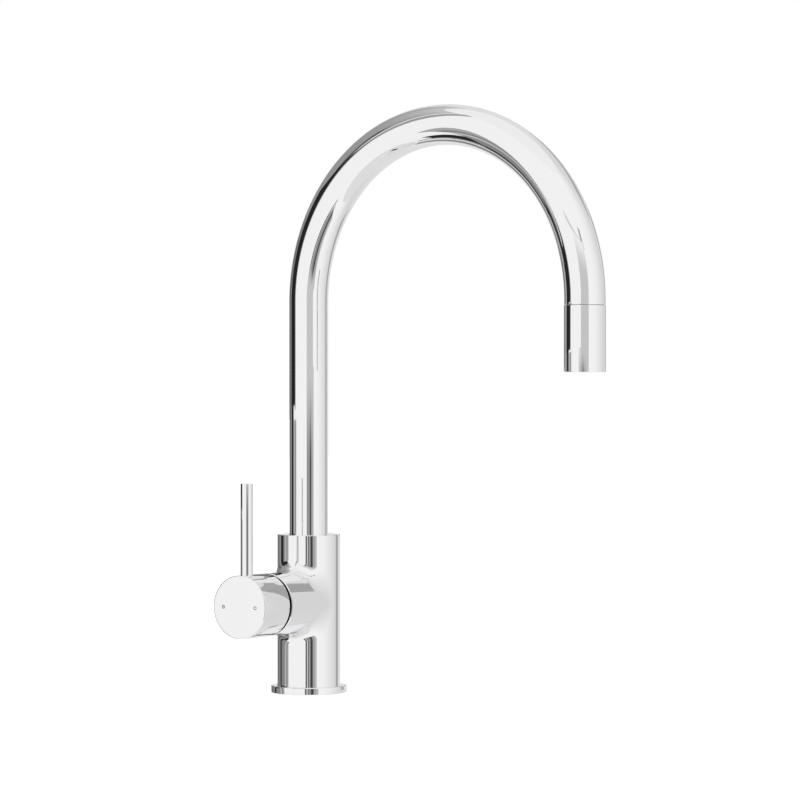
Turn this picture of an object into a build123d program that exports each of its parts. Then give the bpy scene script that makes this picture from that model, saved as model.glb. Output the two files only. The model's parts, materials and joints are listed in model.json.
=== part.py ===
"""Deck-mounted kitchen mixer tap: gooseneck spout with a pull-down spray head and a side pin lever.

Frame: origin on the tap's axis at deck level, +Z up. The lever's branch points along -X and the user
stands at -Y. The spout rests a few degrees off square, turned towards the lever. Millimetres.
"""

import os
from math import asin, degrees, sqrt

from build123d import *

# --- Tap body and deck flange ---
body_diameter = 45.5
body_top = 112.8
flange_diameter = 54.5
flange_height = 5.0
flange_edge = 0.8
spigot_diameter = 38.0
seal_cord = 1.8
seal_path_radius = 23.4
edge_break = 0.4

# --- Side branch that carries the valve cartridge ---
branch_diameter = 44.5
branch_height = 65.2
branch_reach = 52.3
branch_edge = 0.5
blend_radius = 8.0
seat_depth = 19.0

# --- Gooseneck spout ---
tube_diameter = 28.0
tube_wall = 1.2
bend_radius = 121.9
crown_base = 278.8
tip_straight = 4.3
spout_swing = -5.8
swivel_half_range = 70.0

# --- Swivel in the top of the body ---
sleeve_wall = 3.5
neck_floor = 86.0
washer_height = 2.0
sleeve_height = 16.0
sleeve_ring_inset = 2.4
neck_ring_height = 2.0
stop_screw_radius = 2.5
stop_tip_radius = 2.0
stop_slot_wall = 0.8
stop_tip_gap = 0.4
stop_play = 0.3
stop_screw_inset = 0.6
running_gap = 0.05
seat_gap = 0.1
hex_sides = 6

# --- Pull-out hose ---
hose_diameter = 12.0
hose_bore = 8.0
hose_foot = 3.0
passage_diameter = 13.6
hose_hole_radius = 6.6

# --- Water ways in the body ---
port_circle_radius = 12.6
inlet_angle = 48.0
port_thread_radius = 4.46
port_thread_depth = 10.0
channel_radius = 3.0
stud_thread_radius = 3.4
stud_depth = 14.0

# --- Ceramic cartridge, measured outwards along the branch ---
cartridge_radius = 17.4
cartridge_base_height = 3.5
disc_thickness = 2.6
fixed_disc_radius = 13.0
moving_disc_radius = 10.8
driver_height = 4.2
cartridge_lip = 3.0
cartridge_top = 45.0
carrier_radius = 13.2
carrier_neck_radius = 10.0
carrier_top = 50.0
pivot_depth = 38.0
ball_arm = 8.0
ball_radius = 2.1
stem_arm_radius = 1.5
stem_shoulder = 4.0
stem_width = 8.0
stem_length = 36.0
stem_slot_half = 7.2
pin_radius = 1.5
pin_end_gap = 0.4
inlet_port = (5.8, 3.1)
outlet_port = (0.0, -6.0)
port_radius = 2.3
mixing_pocket = (0.0, -3.6)
mixing_pocket_radius = 6.0
mixing_pocket_depth = 1.4
nut_bore_radius = 19.5
nut_height = 5.8
nut_inner_radius = 14.0
nut_notch = 4.0
nut_notch_count = 6
dome_radius = 24.0
dome_wall = 1.5
dome_mouth_radius = 11.0

# --- Handle cap and pin lever ---
cap_diameter = 44.6
cap_gap = 3.0
cap_length = 29.9
cap_plate = 17.7
cap_inner_radius = 20.4
cap_edge = 0.4
lever_diameter = 8.8
lever_setback = 9.0
lever_top = 86.0
lever_socket = 5.0
lever_thread_radius = 3.0
lever_thread_length = 6.0
set_screw_radius = 2.0
set_screw_inset = 2.5
mark_radius = 1.3
mark_offset = 13.5
mark_depth = 0.3

# --- Spray head ---
head_proud = 0.2
head_length = 45.0
head_seam = 0.2
head_wall = 1.2
head_edge = 0.6
dock_height = 11.0
dock_web = 1.5
dock_wall = 2.6
dock_waist = 0.6
slide_gap = 0.1
spigot_end_gap = 0.4
nut_thread_radius = 8.4
nut_thread_length = 7.0
nut_hex_height = 5.0
nut_flats = 14.0
gland_wall = 0.6
gland_foot = 2.4
gland_length = 15.0
gland_stem_bore = 3.0
washer_thickness = 1.5
valve_radius = 5.5
valve_length = 9.0
valve_wall = 1.4
valve_web = 1.2
valve_seat_radius = 2.6
poppet_radius = 3.2
poppet_thickness = 1.6
poppet_stem_radius = 1.0
poppet_stem_gap = 0.24
guide_hole_radius = 0.8
guide_hole_inset = 0.45
guide_hole_count = 6
spring_radius = 1.9
spring_wire_radius = 0.25
spring_turns = 4
aerator_recess = 1.2
aerator_radius = 10.9
aerator_wall = 1.5
aerator_height = 11.5
aerator_gasket_height = 1.5
key_notch = 2.4
key_notch_depth = 2.0
key_notch_count = 4
mesh_pitch = 1.5
mesh_rows = 7
mesh_margin = 1.6
mesh_hole_radius = 1.1
insert_web = 3.0
air_hole_radius = 0.8
air_hole_count = 8
core_web = 1.5

body_radius = body_diameter / 2
branch_radius = branch_diameter / 2
tube_radius = tube_diameter / 2
tube_bore_radius = tube_radius - tube_wall
neck_radius = tube_radius + sleeve_wall
stop_slot_radius = tube_radius + stop_slot_wall
passage_radius = passage_diameter / 2
hose_radius = hose_diameter / 2
cap_radius = cap_diameter / 2
tube_end = crown_base - tip_straight
dock_bore_radius = tube_bore_radius - dock_wall
head_centre = Vector(0, -2 * bend_radius, 0).rotate(Axis.Z, spout_swing)
spout_direction = head_centre.normalized()

os.makedirs("parts", exist_ok=True)


def level(height):
    """A level plane on the tap's own axis."""
    return Plane.XY.offset(height)


def branch_plane(depth):
    """A plane across the branch, that far out from the tap's axis. Its X is the tap's -Y, its Y is up."""
    return Plane(origin=(-depth, 0, branch_height), x_dir=(0, -1, 0), z_dir=(-1, 0, 0))


def head_plane(height):
    """A level plane on the spray head's axis at that height."""
    return Plane(origin=head_centre + Vector(0, 0, height), x_dir=spout_direction, z_dir=(0, 0, 1))


def lathe_plane(plane):
    """The plane for a turned profile: X is the radius and Y runs along the other plane's normal."""
    return Plane(origin=plane.origin, x_dir=plane.x_dir, z_dir=-plane.y_dir)


def turned(plane, *profiles):
    """A turned piece from closed outlines of (radius, height) points."""
    with BuildPart() as made:
        with BuildSketch(lathe_plane(plane)):
            for profile in profiles:
                with BuildLine():
                    Polyline(*profile, close=True)
                make_face()
        revolve(axis=Axis(plane.origin, plane.z_dir))
    return made.part


def ring(plane, inner, outer, length):
    """A plain ring that stands on a plane."""
    return turned(plane, [(inner, 0), (outer, 0), (outer, length), (inner, length)])


def cord_ring(plane, path_radius, cord):
    """An O-ring whose cord is centred on a plane."""
    with BuildPart() as made:
        with BuildSketch(lathe_plane(plane)):
            with Locations((path_radius, 0)):
                Circle(cord / 2)
        revolve(axis=Axis(plane.origin, plane.z_dir))
    return made.part


def save(piece, name):
    piece.label = name
    export_step(piece, f"parts/{name}.step")


# ---------------------------------------------------------------- tap body
inlet_ports = [Vector(-port_circle_radius, 0).rotate(Axis.Z, turn) for turn in (inlet_angle, -inlet_angle)]
outlet_port_centre = Vector(-port_circle_radius, 0)
stop_height = neck_floor + washer_height + sleeve_height / 2

with BuildPart() as body_casting:
    with BuildSketch(level(flange_height)):
        Circle(body_radius)
    extrude(amount=body_top - flange_height)
    with BuildSketch(branch_plane(0)):
        Circle(branch_radius)
    extrude(amount=branch_reach)
    junction = body_casting.edges().filter_by(GeomType.BSPLINE)
    fillet(junction, blend_radius)
    chamfer(body_casting.faces().sort_by(Axis.Z)[-1].edges(), edge_break)
    chamfer(body_casting.faces().sort_by(Axis.X)[0].edges(), branch_edge)
    with BuildSketch(level(0)):
        Circle(spigot_diameter / 2)
    extrude(amount=flange_height)
    # swivel neck and the hose's way through
    with BuildSketch(level(neck_floor)):
        Circle(neck_radius)
    extrude(amount=body_top - neck_floor, mode=Mode.SUBTRACT)
    with BuildSketch(level(0)):
        Circle(passage_radius)
    extrude(amount=neck_floor, mode=Mode.SUBTRACT)
    # cartridge bore, and the wider thread for its nut
    with BuildSketch(branch_plane(seat_depth)):
        Circle(cartridge_radius + running_gap)
    extrude(amount=branch_reach - seat_depth, mode=Mode.SUBTRACT)
    with BuildSketch(branch_plane(cartridge_top)):
        Circle(nut_bore_radius)
    extrude(amount=branch_reach - cartridge_top, mode=Mode.SUBTRACT)
    # hot and cold come up from the deck to the seat, and mixed water goes back down to the hose's loop
    with BuildSketch(level(0)):
        with Locations(*inlet_ports, outlet_port_centre):
            Circle(port_thread_radius)
    extrude(amount=port_thread_depth, mode=Mode.SUBTRACT)
    with BuildSketch(level(0)):
        with Locations(*inlet_ports):
            Circle(channel_radius)
    extrude(amount=branch_height + inlet_port[1], mode=Mode.SUBTRACT)
    with BuildSketch(level(0)):
        with Locations(outlet_port_centre):
            Circle(channel_radius)
    extrude(amount=branch_height + outlet_port[1], mode=Mode.SUBTRACT)
    with BuildSketch(branch_plane(seat_depth)):
        with Locations(inlet_port, (-inlet_port[0], inlet_port[1])):
            Circle(port_radius)
    extrude(amount=-(seat_depth + inlet_ports[0].X), mode=Mode.SUBTRACT)
    with BuildSketch(branch_plane(seat_depth)):
        with Locations(outlet_port):
            Circle(port_radius)
    extrude(amount=-(seat_depth - port_circle_radius), mode=Mode.SUBTRACT)
    # the fixing stud, and the tapped hole for the swivel's stop screw
    with BuildSketch(level(0)):
        with Locations((port_circle_radius, 0)):
            Circle(stud_thread_radius)
    extrude(amount=stud_depth, mode=Mode.SUBTRACT)
    with BuildSketch(Plane((0, 0, stop_height), x_dir=(1, 0, 0), z_dir=(0, 1, 0))):
        Circle(stop_screw_radius)
    extrude(amount=body_radius, mode=Mode.SUBTRACT)
save(body_casting.part, "body_casting")

with BuildPart() as base_ring:
    with BuildSketch(level(0)):
        Circle(flange_diameter / 2)
        Circle(spigot_diameter / 2, mode=Mode.SUBTRACT)
    extrude(amount=flange_height)
    rim = base_ring.edges().filter_by(GeomType.CIRCLE).group_by(Axis.Z)[-1].sort_by(SortBy.RADIUS)[-1]
    fillet(rim, flange_edge)
    with BuildSketch(level(0)):
        Circle(seal_path_radius + seal_cord / 2)
        Circle(seal_path_radius - seal_cord / 2, mode=Mode.SUBTRACT)
    extrude(amount=seal_cord, mode=Mode.SUBTRACT)
save(base_ring.part, "base_ring")
save(cord_ring(level(seal_cord / 2), seal_path_radius, seal_cord), "base_gasket")

# ---------------------------------------------------------------- swivel
sleeve_foot = neck_floor + washer_height
sleeve_top = sleeve_foot + sleeve_height
sleeve_radius = neck_radius - running_gap
bush_foot = sleeve_top + seat_gap
groove_half = seal_cord / 2 + seat_gap
groove_floor = sleeve_radius - seal_cord - running_gap
ring_heights = (sleeve_foot + sleeve_ring_inset, sleeve_top - sleeve_ring_inset)
slot_half = stop_tip_radius + stop_play
slot_half_angle = swivel_half_range + degrees(asin(slot_half / stop_slot_radius))

save(ring(level(neck_floor), passage_radius + seat_gap, sleeve_radius, washer_height), "swivel_washer")
save(
    ring(level(bush_foot), tube_radius + running_gap, neck_radius, body_top - neck_ring_height - bush_foot),
    "neck_bush")

with BuildPart() as neck_ring:
    with BuildSketch(level(body_top - neck_ring_height)):
        Circle(neck_radius)
        Circle(tube_radius + running_gap, mode=Mode.SUBTRACT)
    extrude(amount=neck_ring_height)
save(neck_ring.part, "neck_ring")

with BuildPart() as spout_sleeve:
    with BuildSketch(level(sleeve_foot)):
        Circle(sleeve_radius)
        Circle(tube_radius, mode=Mode.SUBTRACT)
    extrude(amount=sleeve_height)
    for height in ring_heights:
        with BuildSketch(level(height - groove_half)):
            Circle(sleeve_radius)
            Circle(groove_floor, mode=Mode.SUBTRACT)
        extrude(amount=2 * groove_half, mode=Mode.SUBTRACT)
    slot_start = Plane((0, 0, stop_height), x_dir=(0, 1, 0), z_dir=(1, 0, 0)).rotated(
        (0, 0, spout_swing - slot_half_angle), ordering=Extrinsic.XYZ)
    with BuildSketch(slot_start):
        with Locations(((stop_slot_radius + neck_radius) / 2, 0)):
            Rectangle(neck_radius - stop_slot_radius, 2 * slot_half)
    revolve(axis=Axis.Z, revolution_arc=2 * slot_half_angle, mode=Mode.SUBTRACT)
save(spout_sleeve.part, "spout_sleeve")

with BuildPart() as sleeve_o_rings:
    for height in ring_heights:
        add(cord_ring(level(height), sleeve_radius - seal_cord / 2, seal_cord))
save(sleeve_o_rings.part, "sleeve_o_rings")

stop_tip_reach = stop_slot_radius + stop_tip_gap
with BuildPart() as stop_screw:
    with BuildSketch(Plane((0, neck_radius + seat_gap, stop_height), x_dir=(1, 0, 0), z_dir=(0, 1, 0))):
        Circle(stop_screw_radius)
    extrude(amount=body_radius - neck_radius - stop_screw_inset)
    with BuildSketch(Plane((0, stop_tip_reach, stop_height), x_dir=(1, 0, 0), z_dir=(0, 1, 0))):
        Circle(stop_tip_radius)
    extrude(amount=neck_radius + seat_gap - stop_tip_reach)
    with BuildSketch(stop_screw.faces().sort_by(Axis.Y)[-1]):
        RegularPolygon(stop_screw_radius / 2, hex_sides)
    extrude(amount=-stop_screw_radius, mode=Mode.SUBTRACT)
save(stop_screw.part, "stop_screw")


# ---------------------------------------------------------------- spout and hose
def bent_tube(outer, inner, foot, tip):
    """A tube that rises on the tap's axis, bends over and comes down on the head's axis."""
    crown = head_centre / 2 + Vector(0, 0, crown_base + bend_radius)
    with BuildPart() as made:
        with BuildLine() as route:
            rise = Line((0, 0, foot), (0, 0, crown_base))
            bend = ThreePointArc(rise @ 1, crown, head_centre + Vector(0, 0, crown_base))
            if tip < crown_base:
                Line(bend @ 1, head_centre + Vector(0, 0, tip))
        with BuildSketch(level(foot)):
            Circle(outer)
            Circle(inner, mode=Mode.SUBTRACT)
        sweep(path=route.wires()[0])
    return made.part


save(bent_tube(tube_radius, tube_bore_radius, sleeve_foot, tube_end), "spout_tube")
save(bent_tube(hose_radius, hose_bore / 2, hose_foot, crown_base), "pull_hose")

save(turned(
    head_plane(tube_end),
    [(dock_bore_radius, 0), (tube_bore_radius, 0), (tube_bore_radius, tip_straight),
     (tube_bore_radius - dock_waist, tip_straight), (tube_bore_radius - dock_waist, dock_height),
     (hose_hole_radius, dock_height), (hose_hole_radius, dock_height - dock_web),
     (dock_bore_radius, dock_height - dock_web)],
), "spout_dock")

# ---------------------------------------------------------------- spray head, heights from its outlet
head_bottom = tube_end - head_seam - head_length
head_radius = tube_radius + head_proud
shell_bore_radius = head_radius - head_wall
outlet_plane = head_plane(head_bottom)
aerator_top = aerator_recess + aerator_height
gasket_top = aerator_top + aerator_gasket_height
valve_foot = gasket_top + core_web
nut_seat = valve_foot + valve_length
spigot_top = head_length + head_seam + dock_height - dock_web - spigot_end_gap
gland_radius = hose_radius + gland_wall

with BuildPart() as spray_shell:
    with BuildSketch(outlet_plane):
        Circle(head_radius)
    extrude(amount=head_length)
    rims = spray_shell.edges().filter_by(GeomType.CIRCLE).group_by(Axis.Z)
    fillet(rims[0] + rims[-1], head_edge)
    with BuildSketch(outlet_plane):
        Circle(shell_bore_radius)
    extrude(amount=head_length, mode=Mode.SUBTRACT)
save(spray_shell.part, "spray_shell")

save(turned(
    outlet_plane,
    [(aerator_radius, head_edge), (shell_bore_radius, head_edge), (shell_bore_radius, head_length),
     (dock_bore_radius - slide_gap, head_length), (dock_bore_radius - slide_gap, spigot_top),
     (nut_thread_radius, spigot_top), (nut_thread_radius, nut_seat), (valve_radius, nut_seat),
     (valve_radius, valve_foot), (valve_radius - valve_wall, valve_foot),
     (valve_radius - valve_wall, gasket_top), (aerator_radius, gasket_top)],
), "spray_core")

with BuildPart() as aerator_housing:
    add(turned(
        outlet_plane,
        [(aerator_radius - aerator_wall, aerator_recess), (aerator_radius, aerator_recess),
         (aerator_radius, aerator_top), (aerator_radius - aerator_wall, aerator_top)],
    ))
    with BuildSketch(head_plane(head_bottom + aerator_recess)):
        with PolarLocations(aerator_radius, key_notch_count):
            Rectangle(key_notch, key_notch)
    extrude(amount=key_notch_depth, mode=Mode.SUBTRACT)
save(aerator_housing.part, "aerator_housing")

mesh_radius = aerator_radius - aerator_wall
mesh_reach = mesh_radius - mesh_margin
with BuildPart() as aerator_insert:
    with BuildSketch(head_plane(head_bottom + aerator_recess)):
        Circle(mesh_radius)
    extrude(amount=aerator_height)
    with BuildSketch(head_plane(head_bottom + aerator_recess)):
        with HexLocations(mesh_pitch, mesh_rows, mesh_rows, align=(Align.CENTER, Align.CENTER)) as grid:
            holes = [spot for spot in grid.local_locations if spot.position.length < mesh_reach]
        with Locations(*holes):
            RegularPolygon(mesh_hole_radius, hex_sides)
    extrude(amount=aerator_height - insert_web, mode=Mode.SUBTRACT)
    with BuildSketch(head_plane(head_bottom + aerator_top)):
        with PolarLocations(mesh_radius / 2, air_hole_count):
            Circle(air_hole_radius)
    extrude(amount=-(insert_web + aerator_wall), mode=Mode.SUBTRACT)
save(aerator_insert.part, "aerator_insert")
save(
    ring(
        head_plane(head_bottom + aerator_top),
        mesh_radius - aerator_wall, aerator_radius, aerator_gasket_height),
    "aerator_gasket")

# the hose's end: gland, nut and washer in the top of the head
gland_base = head_bottom + nut_seat + washer_thickness
save(
    ring(head_plane(head_bottom + nut_seat), gland_stem_bore, nut_thread_radius, washer_thickness),
    "hose_washer")
save(turned(
    head_plane(gland_base),
    [(gland_stem_bore, 0), (gland_radius, 0), (gland_radius, gland_length), (hose_radius, gland_length),
     (hose_radius, gland_foot), (hose_bore / 2, gland_foot), (hose_bore / 2, gland_length),
     (gland_stem_bore, gland_length)],
), "hose_gland")
save(
    ring(head_plane(gland_base + gland_foot), hose_bore / 2, hose_radius, gland_length - gland_foot),
    "hose_end")
leader_foot = gland_base + gland_length
save(ring(head_plane(leader_foot), hose_bore / 2, hose_radius, crown_base - leader_foot), "hose_leader")

with BuildPart() as hose_nut:
    with BuildSketch(head_plane(gland_base)):
        Circle(nut_thread_radius)
    extrude(amount=nut_thread_length)
    with BuildSketch(head_plane(gland_base + nut_thread_length)):
        RegularPolygon(nut_flats / 2, hex_sides, major_radius=False)
    extrude(amount=nut_hex_height)
    with BuildSketch(head_plane(gland_base)):
        Circle(gland_radius)
    extrude(amount=nut_thread_length + nut_hex_height, mode=Mode.SUBTRACT)
save(hose_nut.part, "hose_nut")

# the non-return valve: a sprung poppet that lifts off its seat downwards
guide_top = valve_foot + valve_web
seat_foot = nut_seat - valve_web
chamber_radius = valve_radius - valve_wall
guide_bore = poppet_stem_radius + running_gap
poppet_top = seat_foot - running_gap
poppet_foot = guide_top + poppet_stem_gap
with BuildPart() as non_return_valve:
    add(turned(
        outlet_plane,
        [(guide_bore, valve_foot), (valve_radius, valve_foot), (valve_radius, nut_seat),
         (valve_seat_radius, nut_seat), (valve_seat_radius, seat_foot), (chamber_radius, seat_foot),
         (chamber_radius, guide_top), (guide_bore, guide_top)],
    ))
    with BuildSketch(head_plane(head_bottom + valve_foot)):
        with PolarLocations(chamber_radius - guide_hole_radius - guide_hole_inset, guide_hole_count):
            Circle(guide_hole_radius)
    extrude(amount=valve_web, mode=Mode.SUBTRACT)
save(non_return_valve.part, "non_return_valve")

save(turned(
    outlet_plane,
    [(0, poppet_foot), (poppet_stem_radius, poppet_foot),
     (poppet_stem_radius, poppet_top - poppet_thickness), (poppet_radius, poppet_top - poppet_thickness),
     (poppet_radius, poppet_top), (0, poppet_top)],
), "valve_poppet")

spring_length = poppet_top - poppet_thickness - guide_top
with BuildPart() as valve_spring:
    with BuildLine() as coil:
        Helix(
            pitch=(spring_length - 2 * spring_wire_radius) / spring_turns,
            height=spring_length - 2 * spring_wire_radius,
            radius=spring_radius,
            center=head_centre + Vector(0, 0, head_bottom + guide_top + spring_wire_radius),
        )
    with BuildSketch(Plane(origin=coil.edges()[0] @ 0, z_dir=coil.edges()[0] % 0)):
        Circle(spring_wire_radius)
    sweep(path=coil.wires()[0])
save(valve_spring.part, "valve_spring")

# ---------------------------------------------------------------- cartridge, depths along the branch
port_places = [inlet_port, (-inlet_port[0], inlet_port[1]), outlet_port]
base_top = seat_depth + cartridge_base_height
fixed_top = base_top + disc_thickness
moving_top = fixed_top + disc_thickness
driver_top = moving_top + driver_height
carrier_foot = driver_top + seat_gap
housing_bore = carrier_radius + running_gap
lip_foot = cartridge_top - cartridge_lip
seal_groove = port_radius + seal_cord

with BuildPart() as cartridge_base:
    with BuildSketch(branch_plane(seat_depth)):
        Circle(cartridge_radius)
        with Locations(*port_places):
            Circle(port_radius, mode=Mode.SUBTRACT)
    extrude(amount=cartridge_base_height)
    with BuildSketch(branch_plane(seat_depth)):
        with Locations(*port_places):
            Circle(seal_groove)
    extrude(amount=seal_cord, mode=Mode.SUBTRACT)
save(cartridge_base.part, "cartridge_base")

with BuildPart() as cartridge_seals:
    with BuildSketch(lathe_plane(branch_plane(seat_depth + seal_cord / 2))):
        with Locations((port_radius + seal_cord / 2, 0)):
            Circle(seal_cord / 2)
    revolve(axis=Axis(branch_plane(seat_depth).origin, (1, 0, 0)))
with BuildPart() as seal_set:
    for across, up in port_places:
        add(cartridge_seals.part.moved(Location((0, -across, up))))
save(seal_set.part, "cartridge_seals")

with BuildPart() as fixed_disc:
    with BuildSketch(branch_plane(base_top)):
        Circle(fixed_disc_radius)
        with Locations(*port_places):
            Circle(port_radius, mode=Mode.SUBTRACT)
    extrude(amount=disc_thickness)
save(fixed_disc.part, "fixed_disc")

with BuildPart() as moving_disc:
    with BuildSketch(branch_plane(fixed_top)):
        Circle(moving_disc_radius)
    extrude(amount=disc_thickness)
    with BuildSketch(branch_plane(fixed_top)):
        with Locations(mixing_pocket):
            Circle(mixing_pocket_radius)
    extrude(amount=mixing_pocket_depth, mode=Mode.SUBTRACT)
save(moving_disc.part, "moving_disc")

save(
    ring(branch_plane(moving_top), ball_radius + running_gap, moving_disc_radius, driver_height),
    "disc_driver")

save(turned(
    branch_plane(0),
    [(housing_bore, base_top), (cartridge_radius, base_top), (cartridge_radius, cartridge_top),
     (carrier_neck_radius + running_gap, cartridge_top), (carrier_neck_radius + running_gap, lip_foot),
     (housing_bore, lip_foot)],
), "cartridge_housing")

pin_hole_plane = Plane((-pivot_depth, -carrier_radius, branch_height), x_dir=(1, 0, 0), z_dir=(0, 1, 0))
with BuildPart() as cartridge_carrier:
    with BuildSketch(branch_plane(carrier_foot)):
        Circle(carrier_radius)
    extrude(amount=lip_foot - seat_gap - carrier_foot)
    with BuildSketch(branch_plane(carrier_foot)):
        Circle(carrier_neck_radius)
    extrude(amount=carrier_top - carrier_foot)
    with BuildSketch(branch_plane(carrier_foot)):
        Rectangle(stem_width + 2 * running_gap, 2 * stem_slot_half)
    extrude(amount=carrier_top - carrier_foot, mode=Mode.SUBTRACT)
    with BuildSketch(pin_hole_plane):
        Circle(pin_radius)
    extrude(amount=2 * carrier_radius, mode=Mode.SUBTRACT)
save(cartridge_carrier.part, "cartridge_carrier")

pin_half = carrier_radius - pin_end_gap
with BuildPart() as stem_pin:
    with BuildSketch(pin_hole_plane.offset(carrier_radius - pin_half)):
        Circle(pin_radius)
    extrude(amount=2 * pin_half)
save(stem_pin.part, "stem_pin")

with BuildPart() as cartridge_stem:
    with BuildSketch(branch_plane(pivot_depth - stem_shoulder)):
        Rectangle(stem_width, stem_width)
    extrude(amount=stem_shoulder + stem_length)
    with BuildSketch(branch_plane(pivot_depth - ball_arm)):
        Circle(stem_arm_radius)
    extrude(amount=ball_arm - stem_shoulder)
    with Locations((-(pivot_depth - ball_arm), 0, branch_height)):
        Sphere(ball_radius)
    with BuildSketch(pin_hole_plane):
        Circle(pin_radius + running_gap)
    extrude(amount=2 * carrier_radius, mode=Mode.SUBTRACT)
save(cartridge_stem.part, "cartridge_stem")

with BuildPart() as cartridge_nut:
    with BuildSketch(branch_plane(cartridge_top)):
        Circle(nut_bore_radius)
        Circle(nut_inner_radius, mode=Mode.SUBTRACT)
        with PolarLocations(nut_inner_radius, nut_notch_count):
            Rectangle(nut_notch, nut_notch, mode=Mode.SUBTRACT)
    extrude(amount=nut_height)
save(cartridge_nut.part, "cartridge_nut")


def dome_height(radius, at_radius):
    """How far past the lever's pivot a sphere of that radius reaches, at that distance off the axis."""
    return pivot_depth + sqrt(radius**2 - at_radius**2)


dome_inner = dome_radius - dome_wall
skirt_radius = sqrt(dome_radius**2 - (branch_reach - pivot_depth) ** 2)
skirt_inner = sqrt(dome_inner**2 - (branch_reach - pivot_depth) ** 2)
skirt_foot = cartridge_top + nut_height
outer_rim = (dome_mouth_radius, dome_height(dome_radius, dome_mouth_radius))
inner_rim = (dome_mouth_radius, dome_height(dome_inner, dome_mouth_radius))
with BuildPart() as dress_dome:
    with BuildSketch(lathe_plane(branch_plane(0))):
        with BuildLine():
            outside = RadiusArc((skirt_radius, branch_reach), outer_rim, -dome_radius)
            mouth = Line(outside @ 1, inner_rim)
            inside = RadiusArc(mouth @ 1, (skirt_inner, branch_reach), dome_inner)
            Polyline(inside @ 1, (skirt_inner, skirt_foot), (skirt_radius, skirt_foot), outside @ 0)
        make_face()
    revolve(axis=Axis(branch_plane(0).origin, (1, 0, 0)))
save(dress_dome.part, "dress_dome")

# ---------------------------------------------------------------- handle
cap_rear = branch_reach + cap_gap
cap_front = cap_rear + cap_length
socket_depth = cap_front - cap_plate
stem_end = pivot_depth + stem_length
lever_depth = cap_front - lever_setback
lever_foot = branch_height + cap_radius - lever_socket
screw_depth = socket_depth + set_screw_inset
mark_places = {"hot_mark": -mark_offset, "cold_mark": mark_offset}

with BuildPart() as handle_cap:
    with BuildSketch(branch_plane(cap_rear)):
        Circle(cap_radius)
    extrude(amount=cap_length)
    chamfer(handle_cap.edges().filter_by(GeomType.CIRCLE), cap_edge)
    with BuildSketch(branch_plane(cap_rear)):
        Circle(cap_inner_radius)
    extrude(amount=socket_depth - cap_rear, mode=Mode.SUBTRACT)
    with BuildSketch(branch_plane(socket_depth)):
        Rectangle(stem_width, stem_width)
    extrude(amount=stem_end - socket_depth, mode=Mode.SUBTRACT)
    with BuildSketch(Plane((-lever_depth, 0, lever_foot))):
        Circle(lever_diameter / 2)
    extrude(amount=lever_socket, mode=Mode.SUBTRACT)
    with BuildSketch(Plane((-lever_depth, 0, lever_foot))):
        Circle(lever_thread_radius)
    extrude(amount=-lever_thread_length, mode=Mode.SUBTRACT)
    with BuildSketch(Plane((-screw_depth, 0, branch_height - cap_radius))):
        Circle(set_screw_radius)
    extrude(amount=cap_radius - stem_width / 2, mode=Mode.SUBTRACT)
    with BuildSketch(branch_plane(cap_front)):
        with Locations(*[(across, 0) for across in mark_places.values()]):
            Circle(mark_radius)
    extrude(amount=-mark_depth, mode=Mode.SUBTRACT)
save(handle_cap.part, "handle_cap")

for mark_name, across in mark_places.items():
    with BuildPart() as mark:
        with BuildSketch(branch_plane(cap_front - mark_depth)):
            with Locations((across, 0)):
                Circle(mark_radius)
        extrude(amount=mark_depth)
    save(mark.part, mark_name)

with BuildPart() as lever_pin:
    with BuildSketch(Plane((-lever_depth, 0, lever_foot))):
        Circle(lever_diameter / 2)
    extrude(amount=branch_height + lever_top - lever_foot)
    chamfer(lever_pin.edges().filter_by(GeomType.CIRCLE).group_by(Axis.Z)[-1], cap_edge)
    with BuildSketch(Plane((-lever_depth, 0, lever_foot))):
        Circle(lever_thread_radius)
    extrude(amount=-lever_thread_length)
save(lever_pin.part, "lever_pin")

with BuildPart() as handle_grub_screw:
    with BuildSketch(Plane((-screw_depth, 0, branch_height - stem_width / 2))):
        Circle(set_screw_radius)
    extrude(amount=-(cap_radius - stem_width / 2) / 2)
    with BuildSketch(handle_grub_screw.faces().sort_by(Axis.Z)[0]):
        RegularPolygon(set_screw_radius / 2, hex_sides)
    extrude(amount=-set_screw_radius, mode=Mode.SUBTRACT)
save(handle_grub_screw.part, "handle_grub_screw")
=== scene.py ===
# %% [markdown]
# # A chromed kitchen mixer with a pull-down spray head
#
# A chromed tap is almost a mirror, so two things make or break the picture: how true its surfaces are,
# and what stands round it for them to reflect. The engineering model comes in as a fixed frame that is
# never moved or resized. The visible chrome is then made again as dense, smooth meshes in the same
# places, because a mirror shows every facet, and the inner pieces keep their own shapes and only get
# finishes.

# %% Load the frame and keep its box
import json
from math import atan2, cos, hypot, pi, radians, sin, sqrt, tan

import bmesh
import bpy
from mathutils import Matrix, Vector

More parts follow.
